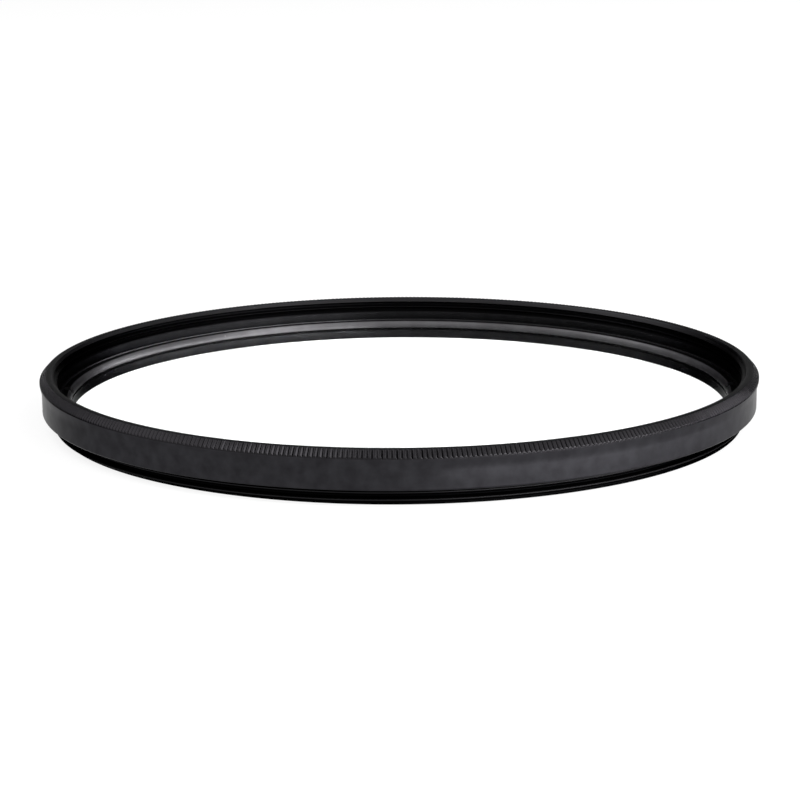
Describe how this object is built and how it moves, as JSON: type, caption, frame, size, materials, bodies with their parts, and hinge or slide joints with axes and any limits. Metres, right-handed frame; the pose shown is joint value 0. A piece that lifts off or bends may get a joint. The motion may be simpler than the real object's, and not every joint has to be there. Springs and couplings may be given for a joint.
{
  "type": "uv filter",
  "caption": "Slim round screw-in camera lens filter: black turned ring with a finely knurled rim, clear disc and slotted clamp ring.",
  "frame": {"origin": "centre of the rear face, the flat end of the male thread that the filter rests on", "axes": "+Z along the optical axis, from the rear thread toward the front; +X through one slot of the retaining ring"},
  "size_m": [0.08, 0.08, 0.0059],
  "materials": {
    "black_anodised_aluminium": "satin",
    "black_retainer": "satin",
    "coated_glass": "polished"
  },
  "bodies": {
    "root": {"filter_frame": "black_anodised_aluminium", "glass_disc": "coated_glass", "retaining_ring": "black_retainer"}
  },
  "joints": []
}
